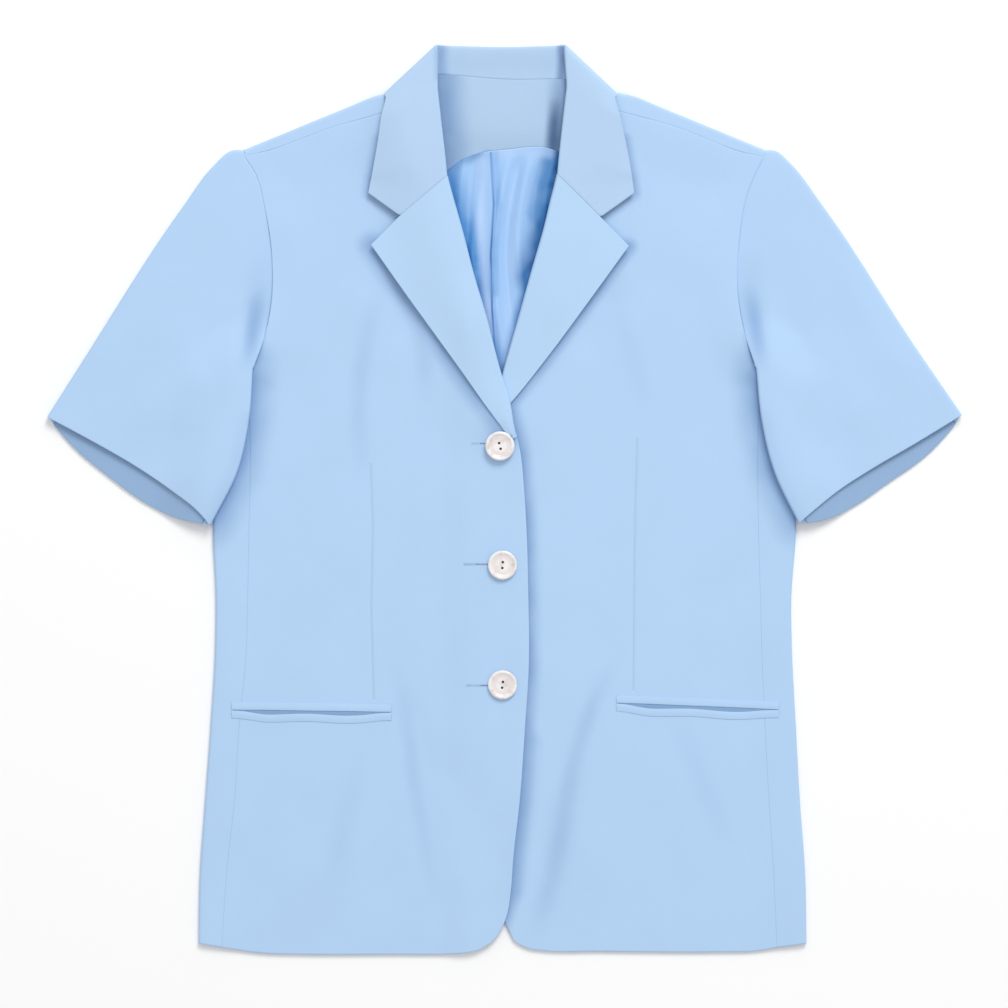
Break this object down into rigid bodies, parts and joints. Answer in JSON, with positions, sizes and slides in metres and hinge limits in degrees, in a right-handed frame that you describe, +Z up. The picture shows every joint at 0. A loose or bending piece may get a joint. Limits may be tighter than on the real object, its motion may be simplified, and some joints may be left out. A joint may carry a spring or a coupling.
{
  "type": "short sleeve blazer",
  "caption": "Short sleeve blazer in pale blue woven cloth, with notched lapels, welt pockets and shell buttons, buttoned and laid flat.",
  "frame": {"origin": "centre of the garment's outline, on the surface it lies on", "axes": "+X towards the wearer's left side, +Y from the hem to the collar, +Z up from the surface, out of the garment's front"},
  "size_m": [0.692, 0.6882, 0.0114],
  "materials": {
    "suiting": "smooth pale blue plain weave, pressed",
    "lining": "satin",
    "shell": "polished mother-of-pearl"
  },
  "bodies": {
    "root": {"back": "suiting", "side_over": "suiting", "side_under": "suiting", "front_over": "suiting", "front_under": "suiting", "lapel_over": "suiting", "lapel_under": "suiting", "sleeve_over": "suiting", "sleeve_under": "suiting", "collar": "suiting", "neck_facing": "suiting", "welt_upper_over": "suiting", "welt_lower_over": "suiting", "welt_upper_under": "suiting", "welt_lower_under": "suiting", "lining_back": "lining", "button_1": "shell", "button_2": "shell", "button_3": "shell"}
  },
  "joints": []
}
